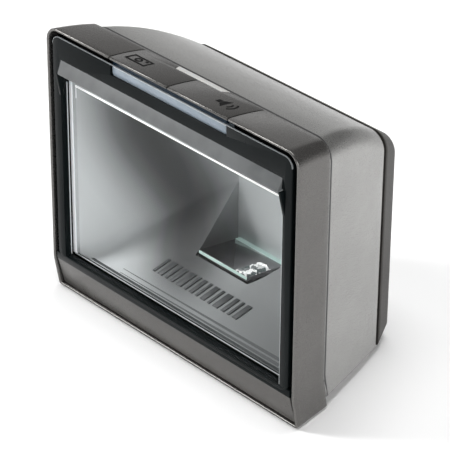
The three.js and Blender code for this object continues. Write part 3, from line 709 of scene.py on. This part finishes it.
def build_housing():
    """The tapered shell with its grille and foot seats, and the tongue that goes into the band."""
    loop = wall_loop(HOUSING["front"], HOUSING["rear"], HOUSING_WALL, 0.4, 14)
    rings = [housing_outline(y, inset) for y, inset in loop]
    seats = [box_shape((x - 8.3, x + 8.3), (y - 5.3, y + 5.3), (-1, 5.8)) for x, y in FOOT_SEATS]
    make_piece("housing_shell", skin(rings, closed_profile=True), HOUSING_GREY,
               stands_for=["rear_housing"], cuts=speaker_slots() + seats)
    tongue = [housing_outline(y, inset) for y, inset in wall_loop(21.5, 27, 1, 0.3, 2)]
    make_piece("housing_tongue", skin(tongue, closed_profile=True), BLACK)


def build_seam():
    loop = wall_loop(HOUSING["rear"] - 0.6, BACK["front"] + 0.6, 3, 0.3, 2)
    rings = [housing_outline(y, inset + 1.8) for y, inset in loop]
    make_piece("seam_ring", skin(rings, closed_profile=True), SEAM_BLACK,
               stands_for=["seam_gasket"])


def back_cuts():
    """The tub's hollow, cable exit, screw and insert holes, label recess, sockets and vents."""
    cuts = [box_shape((-29, 29), (87.9, FAR), (10.3, 29)), box_shape((-10, 10), (89.5, FAR), (-1, 11.3))]
    cuts += [rod_y(x, z, 3.6, 90, FAR) for x, z in COVER_SCREWS]
    cuts += [rod_y(x, z, 1.9, 70, FAR, 16) for x, z in COVER_SCREWS]
    cuts += [rod_y(x, z, 3.3, 86.2, FAR) for x, z in INSERTS]
    cuts += [box_shape((-22, 22), (REAR - 0.8, FAR), (42, 60))]
    cuts += [box_shape((x0 - 0.3, x1 + 0.3), (70, FAR), (12.2, z1 + 0.3)) for x0, x1, z1 in SOCKET_HOLES]
    return cuts + [slot_y(5 * i, 0.9, 88, 102) for i in range(-4, 5)]


def build_back_plate():
    """The dark back: a hollow shell with rounded rear edges, posts and the connector tub."""
    front, inner = BACK["front"], REAR - 2.4
    steps = [(front, 0.35), (front + 0.1, 0.15), (front + 0.35, 0.0)]
    steps += [(front + 0.35 + (REAR - 1.5 - front) * i / 5, 0.0) for i in range(1, 5)]
    steps += [(REAR - 1.3 + 1.3 * math.sin(math.radians(a)), 1.3 - 1.3 * math.cos(math.radians(a)))
              for a in (0, 22, 45, 67, 90)]
    shell = skin([back_outline(y, inset) for y, inset in steps])
    hollow = skin([back_outline(y, 2.2) for y in (front - 1, inner)])
    posts = [rod_y(x, z, 5.5, front + 0.4, REAR - 1, 24) for x, z in COVER_SCREWS]
    posts += [rod_y(x, z, 5.5, 84, REAR - 1, 24) for x, z in INSERTS]
    tub = box_shape((-31, 31), (85.5, REAR - 0.5), (9, 31))
    make_piece("back_shell", shell, BACK_GREY, stands_for=["back_plate"],
               hollow=[hollow], joins=posts + [tub], cuts=back_cuts(), bevel=0.2, sharp=40)


# ---- window ----
def build_bezel():
    """The black frame with a painted highlight along its top rim, its rear flange, the visor, and the chin
    below the window.
    """
    front, half, low, high, radius = (BEZEL[key] for key in ("front", "half", "bottom", "top", "radius"))
    steps = [(front, 0.6), (front + 0.08, 0.35), (front + 0.25, 0.12), (front + 0.6, 0.0), (7.4, 0.0)]
    face = plate_y(half, low - 1, high, radius, steps)
    bar_half = LIGHT_BAR["half"] + 0.3
    cuts = [plate_y(OPENING["half"], OPENING["bottom"], OPENING["top"], 1, [(-20, 0), (PAST, 0)]),
            plate_y(*RECESS, [(4, 0), (PAST, 0)]),
            box_shape((-bar_half, bar_half), (-5, 6), (142.9, 160)),
            box_shape((-83.4, 83.4), (1.3, PAST), (145.4, 160))]
    make_piece("window_bezel", face, BEZEL_BLACK, stands_for=["window_frame"],
               cuts=cuts, bevel=0.25)
    # A thin grey strip along the frame's upper rim: a painted highlight.
    rim_steps = [(0.28, 0.2), (0.36, 0.05), (0.5, 0.0), (0.9, 0.0)]
    edge = plate_y(half + 0.02, low, high + 0.02, radius, rim_steps)
    below = box_shape((-100, 100), (-5, 5), (0, high - radius))
    inner = plate_y(half - 0.3, low, high - 0.3, radius - 0.3, [(-5, 0), (5, 0)])
    make_piece("bezel_painted_highlight", edge, BEZEL_HIGHLIGHT_GREY, cuts=[below, inner])
    flange = plate_y(86.2, 2.5, 150.6, 6.9, [(6.2, 0), (7.3, 0)])
    room = [box_shape((-43.7, 43.7), (0, PAST), (146.2, 160)), plate_y(*RECESS, [(0, 0), (PAST, 0)])]
    make_piece("bezel_flange", flange, SEAM_BLACK, cuts=room)
    build_visor()
    sill = OPENING["bottom"] - 0.1
    skirt = prism_x([(front + 0.05, sill), (front + 0.05, KNEE + 0.2), (6, KNEE + 0.2), (6, low), (3, sill)],
                    -86, 86)
    make_piece("bezel_skirt", skirt, BEZEL_BLACK, bevel=0.15)
    chin = prism_x([(front + 0.3, KNEE + 0.15), (4.6, 2.6), (6, 2.6), (6, KNEE + 0.15)], -86, 86)
    make_piece("bezel_chin", chin, CHIN_GREY, bevel=0.3)


def build_visor():
    """A wedge above the window with two cheeks that run down beside it."""
    reach, tip, half = VISOR["reach"], VISOR["tip"], VISOR["half"]
    wedge = [(0.3, VISOR["brow"], half), (reach, tip, half - 0.4), (reach + 0.5, VISOR["lip"], half - 0.5),
             (2.6, 130.4, half - 0.5), (2.6, VISOR["brow"], half)]
    rings = [[(side * x, y, z) for y, z, x in wedge] for side in (-1, 1)]
    # The wedge's grey is partly painted light for its upward face.
    make_piece("window_visor", skin(rings), VISOR_GREY_PAINTED_LIGHT, bevel=0.3, bevel_steps=3)
    for side, word in ((-1, "left"), (1, "right")):
        cheek = []
        for outwards in (0, 1.4):
            cheek.append([(side * (half - 0.2 + outwards), reach + 0.15, tip - 0.2),
                          (side * (half + 0.5 + outwards), 0.3, 116.5),
                          (side * (half + 0.5 + outwards), 2.4, 116.5),
                          (side * (half - 0.2 + outwards), 2.4, tip - 0.2)])
        make_piece(f"visor_cheek_{word}", skin(cheek), BEZEL_BLACK, bevel=0.3)


def build_glass():
    """The pane, the seal behind it, the strips of painted shade on the sill and the glowing lines of painted
    glint along its edges.
    """
    steps = [(4.3, 0.4), (4.6, 0.1), (4.9, 0.0), (6.0, 0.0), (6.3, 0.3)]
    make_piece("glass_pane", plate_y(*PANE, steps), GLASS, stands_for=["window_glass"])
    # The seal's faint glow is painted light.
    seal = plate_y(*PANE, [(6.6, 0), (7.5, 0)])
    inner = plate_y(78.7, 22.7, 132.5, 1, [(0, 0), (PAST, 0)])
    base = box_shape((-90, 90), (0, 20), (10, 22.7))
    make_piece("glass_seal", seal, SEAL_PALE_PAINTED_LIGHT, stands_for=["window_gasket"], cuts=[inner, base])
    seal_base = box_shape((-79.2, 79.2), (6.6, 7.5), (21.4, 22.7))
    make_piece("glass_seal_base", seal_base, SEAM_BLACK, bevel=0.1)
    # Two dark strips on the ledge behind the glass: painted shade.
    for i, (y, wide) in enumerate(((8.0, 1.3), (10.2, 2.2))):
        strip = box_shape((-74.3, 74.3), (y, y + wide), (20.9, 21.2 + 0.12 * i))
        make_piece(f"window_ledge_strip_{i + 1}", strip, LEDGE_PAINTED_SHADE, bevel=0.08)
    # Thin glowing lines along the window's edges: painted glints.
    glints = {"left": box_shape((-79, -78.55), (3.9, 4.25), (23, 123)),
              "bottom": box_shape((-78.5, 77), (6.2, 6.55), (22.5, 23.05)),
              "right": box_shape((78.75, 79.1), (0.3, 0.7), (23.2, 116))}
    for word, shape in glints.items():
        make_piece(f"window_glint_{word}", shape, GLINT_GREY_GLOWING, bevel=0.08)


def build_light_bar():
    """The milky light guide, a glowing line of painted highlight along its top edge, and the navy hood above
    it.
    """
    half, low, high, front = (LIGHT_BAR[key] for key in ("half", "bottom", "top", "front"))
    steps = [(front, 0.35), (front + 0.1, 0.12), (front + 0.35, 0.0), (LIGHT_BAR["rear"], 0.0)]
    make_piece("light_bar_guide", plate_y(half, low, high, 1.8, steps), LIGHT_GUIDE,
               stands_for=["status_light_bar"])
    hood = box_shape((-half, half - 1.5), (1.9, 5.5), (high + 0.05, high + 2.5))
    # A glowing line along the guide's top edge: a painted highlight.
    edge = box_shape((-half + 1, half - 1), (1.1, 1.45), (high - 0.45, high - 0.05))
    make_piece("light_bar_painted_highlight", edge, GLINT_GREY_GLOWING, bevel=0.1)
    make_piece("light_bar_hood", hood, NAVY, bevel=0.15)


def build_tab():
    """The silver light at the band's rear edge."""
    rings = [[(x, y, band_top(y) - drop) for x, y in tab_plan()] for drop in (0, 3)]
    make_piece("rear_tab", skin(rings), STATUS_SILVER, stands_for=["rear_status_light"],
               bevel=0.3, bevel_steps=3)


# ---- optics ----
def slope_z(y):
    """Height of the funnel's steep floor at depth y."""
    (y0, _, z0, _), (y1, _, z1, _) = FUNNEL[-2:]
    return z0 + (z1 - z0) * (y - y0) / (y1 - y0)


def pocket_z(y):
    """Height of the mirror pocket's floor at depth y."""
    s = (y - POCKET["front"]) / (FUNNEL_REAR - POCKET["front"])
    return lerp((POCKET["front_z"], POCKET["rear_z"]), s)


def pocket_shape(grow, drop, rise):
    """The mirror's pocket; its right side flares out to the funnel's wall."""
    half, flare, front, rear = POCKET["half"], POCKET["flare"], POCKET["front"], FUNNEL_REAR + grow
    plan = [(-half - grow, front - grow), (half + 0.4 * grow, front - grow),
            (half + flare + grow, front + 10.6 - 0.4 * grow), (half + flare + grow, rear - 9),
            (half + grow / 2, rear), (-half - grow, rear)]
    return skin([[(x, y, slope_z(y) + rise) for x, y in plan], [(x, y, pocket_z(y) - drop) for x, y in plan]])


def pocket_lining():
    """A thin pale skin on the flared right-hand wall of the mirror's pocket, painted light over the funnel's
    painted shade.
    """
    half, flare, front = POCKET["half"], POCKET["flare"], POCKET["front"]
    path = [(half + 0.1 * flare, front + 1.06), (half + flare, front + 10.6),
            (half + flare, FUNNEL_REAR - 9), (half + 0.4, FUNNEL_REAR - 0.3)]
    rings = []
    for x, y in path:
        low, high = pocket_z(y) + 0.3, slope_z(y) - 0.05
        rings.append([(x - 0.15, y, low), (x + 0.3, y, low), (x + 0.3, y, high), (x - 0.15, y, high)])
    return skin(rings)


def bend(y, value):
    """A funnel measure at depth y, with the corner at the waist rounded off."""
    _, ledge, waist, throat = FUNNEL
    before = (waist[value] - ledge[value]) / (waist[0] - ledge[0])
    after = (throat[value] - waist[value]) / (throat[0] - waist[0])
    past = y - waist[0]
    if abs(past) >= WAIST_BLEND:
        return waist[value] + (before if past < 0 else after) * past
    turn = (after - before) * (past + WAIST_BLEND) ** 2 / (4 * WAIST_BLEND)
    return waist[value] + before * past + turn


def funnel_rings():
    """(depth, half width, floor, ceiling, corner radius) of the funnel's sections behind its ledge."""
    _, ledge, waist, throat = FUNNEL
    first, shrink = FUNNEL_ROUND
    depths = [ledge[0], 20, 26] + [waist[0] + WAIST_BLEND * k / 4 for k in range(-4, 5)] + [54, throat[0]]
    return [(y, bend(y, 1), bend(y, 2), bend(y, 3), first - shrink * (y - ledge[0])) for y in depths]


def build_chassis():
    """The funnel with its mirror pocket and rear openings, its pale linings of painted light, and a glowing
    white strip of painted highlight along its top.
    """
    mouth, throat, rings = FUNNEL[0], FUNNEL[-1], funnel_rings()
    front = mouth[0]
    rim = plate_y(85.6, 19.5, 141, 4, [(front, 0), (front + 1.7, 0)])
    outer_rings = [(*mouth, 2)] + rings + [(throat[0] + 1.8, *throat[1:], 2)]
    outer = skin([frame_ring(y, half + 2.2, low - 2.6, high + 2, radius + 2)
                  for y, half, low, high, radius in outer_rings])
    air = skin([frame_ring(*ring) for ring in [(front - 0.01, *mouth[1:], 2)] + rings])
    entry = box_shape((-mouth[1], mouth[1]), (front - 1, front), mouth[2:])
    through = (FUNNEL_REAR - 2, FUNNEL_REAR + 4)
    eye = rod_y(0, EYE_Z, 6, *through)
    leds = [box_shape(span, through, (EYE_Z - 8, EYE_Z + 8)) for span in LED_SPANS]
    groove = prism_x([(10.4, 21.6), (10.4, 20.5), (11.6, 20.5), (11.6, 21.8)], -74.4, 74.4)
    make_piece("optics_funnel", rim, FUNNEL_GREY_PAINTED_SHADE, stands_for=["optics_chassis"],
               joins=[outer, pocket_shape(1.8, 1.8, 4)],
               cuts=[air, entry, pocket_shape(0, 0, 2), groove, eye] + leds,
               bevel=0.35, bevel_steps=3, sharp=30)
    # A pale sheet over the funnel's rear wall: painted light where the funnel's paint is shaded.
    wall = box_shape((-18.9, 18.9), (FUNNEL_REAR - 0.25, FUNNEL_REAR + 0.5), (31.5, 110))
    make_piece("throat_wall", wall, THROAT_GREY_PAINTED_LIGHT, cuts=[eye] + leds)
    make_piece("throat_lining", pocket_lining(), THROAT_GREY_PAINTED_LIGHT)
    # A glowing white strip along the top of the mouth: a painted highlight.
    top = mouth[3]
    bead = [(front - 0.5, top - 0.5), (front - 0.5, top + 0.35), (front, top + 0.35), (front, top - 0.5)]
    make_piece("funnel_top_painted_highlight", prism_x(bead, -mouth[1], mouth[1]), HIGHLIGHT_WHITE_GLOWING,
               bevel=0.15)
    # A short glowing pale tick at the mouth's left corner: a painted glint.
    tick = box_shape((-mouth[1], 0.5 - mouth[1]), (front - 0.4, front), (top - 7, top - 0.9))
    make_piece("funnel_corner_painted_glint", tick, SEAL_PALE_PAINTED_LIGHT, bevel=0.1)


def front_floor_z(y):
    """Height of the funnel's gentle front floor at depth y."""
    _, (y0, _, z0, _), (y1, _, z1, _), _ = FUNNEL
    return z0 + (y - y0) * ((z1 - z0) / (y1 - y0))


def build_steps():
    """Two very low tapered steps across the front of the funnel's floor, dark grey as painted shade."""
    for i, near in enumerate((12.0, 14.2)):
        rings = []
        for x, wide in ((-50, 0.2), (66, 1.5)):
            edges = [(x, y, front_floor_z(y)) for y in (near, near + wide)]
            rings.append(edges + [(a, y, z + 0.07) for a, y, z in reversed(edges)])
        make_piece(f"floor_step_{i + 1}", skin(rings), STEP_GREY_PAINTED_SHADE)


def build_motif():
    """A row of plain slanted raised bars of mixed widths on the funnel's floor."""
    widths = [1.6, 3.2, 1.6, 2.4, 3.8, 1.6, 2.4, 1.6, 3.2, 1.6, 3.8, 2.4, 1.6, 3.2]
    middle, gap, slant, low, high = -3.3, 2.15, 3.2, 20.3, 28.6
    x = middle - (sum(widths) + gap * (len(widths) - 1)) / 2
    for i, width in enumerate(widths):
        plan = [(x, low), (x + width, low), (x + width + slant, high), (x + slant, high)]
        rings = []
        for lift in (-0.3, 0.6):
            rings.append([(a, y - 0.5 * lift, front_floor_z(y) + 0.85 * lift) for a, y in plan])
        make_piece(f"floor_bar_{i + 1:02d}", skin(rings), MOTIF_GREY, bevel=0.15)
        x += width + gap


def mirror_frame(u, v, w):
    """Pocket coordinates to rim coordinates: u across, v back along its floor, w off the floor."""
    slope = math.atan2(POCKET["front_z"] - POCKET["rear_z"], FUNNEL_REAR - POCKET["front"])
    y0, z0 = POCKET["front"] + 0.3, POCKET["front_z"]
    return u, y0 + v * math.cos(slope) + w * math.sin(slope), z0 - v * math.sin(slope) + w * math.cos(slope)


def mirror_block(v, w):
    """A block as wide as the mirror, between pairs of v and w values."""
    corners = [(v[0], w[0]), (v[1], w[0]), (v[1], w[1]), (v[0], w[1])]
    half = MIRROR["half"]
    return skin([[mirror_frame(u, b, c) for b, c in corners] for u in (-half, half)])


def build_mirror():
    """The mirror with its ground front and rear edges glowing as painted light, its foam pad and the foil
    tape with painted glints.
    """
    length, low, front, rear = MIRROR["length"], MIRROR["lift"], MIRROR["front_edge"], MIRROR["rear_edge"]
    high = low + MIRROR["thick"]
    make_piece("mirror_plate", mirror_block((front, length - rear), (low, high)), MIRROR_FACE,
               stands_for=["fold_mirror"], bevel=0.08)
    make_piece("mirror_front_edge", mirror_block((0, front), (low + 0.9, high - 0.1)), GLASS_EDGE_PAINTED_LIGHT,
               bevel=0.05)
    make_piece("mirror_rear_edge", mirror_block((length - rear, length), (low, high + 0.3)),
               GLASS_EDGE_PAINTED_LIGHT, bevel=0.1)
    make_piece("mirror_foam", mirror_block((0.05, length), (0.1, low - 0.1)), SEAM_BLACK,
               stands_for=["mirror_pad"])
    build_foil(MIRROR["half"], high)


def build_foil(half, level):
    """A crumpled strip of foil tape that holds the mirror's right end."""
    rng = random.Random(7)
    columns, rows = 8, 18
    top = []
    for i in range(rows + 1):
        for j in range(columns + 1):
            u = half + 0.6 - FOIL_TAPE["wide"] * j / columns
            v = FOIL_TAPE["long"] * i / rows - 0.4
            edge = 1.0 if 0 < j < columns else 0.35
            if j == columns:
                u += rng.uniform(-0.9, 0.7)
            v += rng.uniform(-0.15, 0.15)
            top.append(mirror_frame(u, v, level + 0.15 + edge * rng.uniform(0, FOIL_TAPE["crumple"])))
    verts = top + [(x, y, z - FOIL_TAPE["thick"]) for x, y, z in top]
    count, width = len(top), columns + 1
    faces = []
    for i in range(rows):
        for j in range(columns):
            a = i * width + j
            quad = (a, a + 1, a + width + 1, a + width)
            faces += [quad, tuple(count + k for k in reversed(quad))]
    rim = list(range(columns)) + [i * width + columns for i in range(rows)]
    rim += [rows * width + j for j in range(columns, 0, -1)] + [i * width for i in range(rows, 0, -1)]
    for a, b in zip(rim, rim[1:] + rim[:1]):
        faces.append((a, b, count + b, count + a))
    # The foil's bright patches glow: painted glints.
    make_piece("mirror_foil_tape", (verts, faces), FOIL_PAINTED_GLINTS, sharp=12)


def build_domes():
    """Silicone domes, low enough to leave the stems room when the buttons go down."""
    foot, neck, rise = DOME["foot"], DOME["neck"], DOME["rise"]
    profile = [(foot, 0), (foot, 0.5), (neck, rise - 0.5), (neck, rise - 0.2), (neck - 0.2, rise)]
    for word, side in (("left", -1), ("right", 1)):
        rings = []
        for radius, z in profile:
            ring = circle(side * STEM["x"], STEM["y"], radius, 24)
            rings.append([(a, b, DOME["base"] + z) for a, b in ring])
        make_piece(f"dome_skin_{word}", skin(rings), SILICONE, stands_for=[f"dome_{word}"])


# ---- CAD nodes that stay as they are ----
KEPT = {
    RUBBER: ["foot_front_left", "foot_front_right", "foot_rear_left", "foot_rear_right"],
    SILICONE: ["led_lens_left", "led_lens_right"],
    BLACK: ["switch_left", "switch_right", "camera_barrel", "image_sensor", "speaker", "host_port",
            "aux_port", "power_jack"],
    CIRCUIT: ["led_board_left", "led_board_right", "button_board", "sensor_board", "main_board"],
    BRASS: ["mount_insert_left", "mount_insert_right"],
    STEEL: [f"{kind}_screw_{i}" for kind in ("cover", "chassis") for i in range(1, 5)],
    LENS: ["camera_lens"],
    LABEL: ["rating_label"],
}


def dress_kept_nodes():
    """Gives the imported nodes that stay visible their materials."""
    for material, names in KEPT.items():
        for name in names:
            for slot in frame["nodes"][name].material_slots:
                slot.material = material


# ---- scene ----
CAMERA = {"azimuth": 46.87, "elevation": 31.12, "roll": 0.40, "distance": 1275.3, "focal": 206.12,
          "side": -5.69, "up": -15.05, "shift": (0.0031, 0.0048)}
AIM = Vector((0, -1, 75))


def build_camera():
    """A long lens at the front right, above, with a small roll and shift."""
    azimuth, elevation = math.radians(CAMERA["azimuth"]), math.radians(CAMERA["elevation"])
    back = Vector((math.sin(azimuth) * math.cos(elevation), -math.cos(azimuth) * math.cos(elevation),
                   math.sin(elevation)))
    right = Vector((math.cos(azimuth), math.sin(azimuth), 0))
    turn = Matrix.Rotation(math.radians(CAMERA["roll"]), 3, back)
    right = turn @ right
    up = back.cross(right)
    data = bpy.data.cameras.new("camera")
    data.lens, data.sensor_width = CAMERA["focal"], 36
    data.shift_x, data.shift_y = CAMERA["shift"]
    data.clip_start, data.clip_end = 0.01, 50
    camera = add_object("camera", data)
    place = AIM + right * CAMERA["side"] + up * CAMERA["up"] + back * CAMERA["distance"]
    camera.matrix_world = Matrix.Translation(place * MM) @ Matrix((right, up, back)).transposed().to_4x4()
    bpy.context.scene.camera = camera


def area_light(name, place, aim, size, power):
    """A white rectangular lamp, in metres and watts."""
    data = bpy.data.lights.new(name, "AREA")
    data.shape, data.size, data.size_y = "RECTANGLE", size[0], size[1]
    data.energy = power
    light = add_object(name, data)
    light.location = place
    light.rotation_euler = (Vector(aim) - Vector(place)).to_track_quat("-Z", "Y").to_euler()


def build_floor():
    """A plain pale floor, in metres."""
    material, _, shader = new_material("studio_floor")
    put(shader, {"Base Color": (0.96, 0.96, 0.96, 1), "Roughness": 0.9, "Specular IOR Level": 0.1})
    mesh = bpy.data.meshes.new("floor")
    reach = 6.0
    mesh.from_pydata([(-reach, -reach, 0), (reach, -reach, 0), (reach, reach, 0), (-reach, reach, 0)], [],
                     [(0, 1, 2, 3)])
    mesh.materials.append(material)
    add_object("floor", mesh)


def build_light():
    """A pale surround that darkens upwards, and four lamps."""
    world_data = bpy.data.worlds.new("studio")
    bpy.context.scene.world = world_data
    world_data.use_nodes = True
    nodes = world_data.node_tree.nodes
    background = nodes["Background"]
    direction = nodes.new("ShaderNodeTexCoord")
    parts = nodes.new("ShaderNodeSeparateXYZ")
    wire(direction, "Generated", parts, "Vector")
    walls = ramp(nodes, parts, "Z", (1, 1, 1), (0.1, 0.1, 0.1), -0.02, 0.1)
    wire(walls, "Color", background, "Color")
    put(background, {"Strength": 0.8})
    area_light("overhead", (0, 0.1, 1.6), (0, 0, 0.05), (0.9, 0.9), 19)
    area_light("rear_left", (-1.3, 1.0, 0.6), (0, 0.05, 0.1), (1.9, 1.2), 2.6)
    area_light("right", (1.5, -0.3, 0.5), (0, 0, 0.07), (0.9, 0.8), 17)
    area_light("front_left", (-1.0, -0.85, 0.9), (0, 0, 0.08), (0.35, 1.1), 20)
    bpy.context.scene.view_settings.view_transform = "Standard"


build_camera()
build_floor()
build_light()
build_band()
build_button(-1, "capture_button_cap", "capture_button", camera_icon)
build_button(1, "volume_button_cap", "volume_button", speaker_icon)
build_housing()
build_seam()
build_back_plate()
build_bezel()
build_glass()
build_light_bar()
build_tab()
build_chassis()
build_steps()
build_motif()
build_mirror()
build_domes()
dress_kept_nodes()
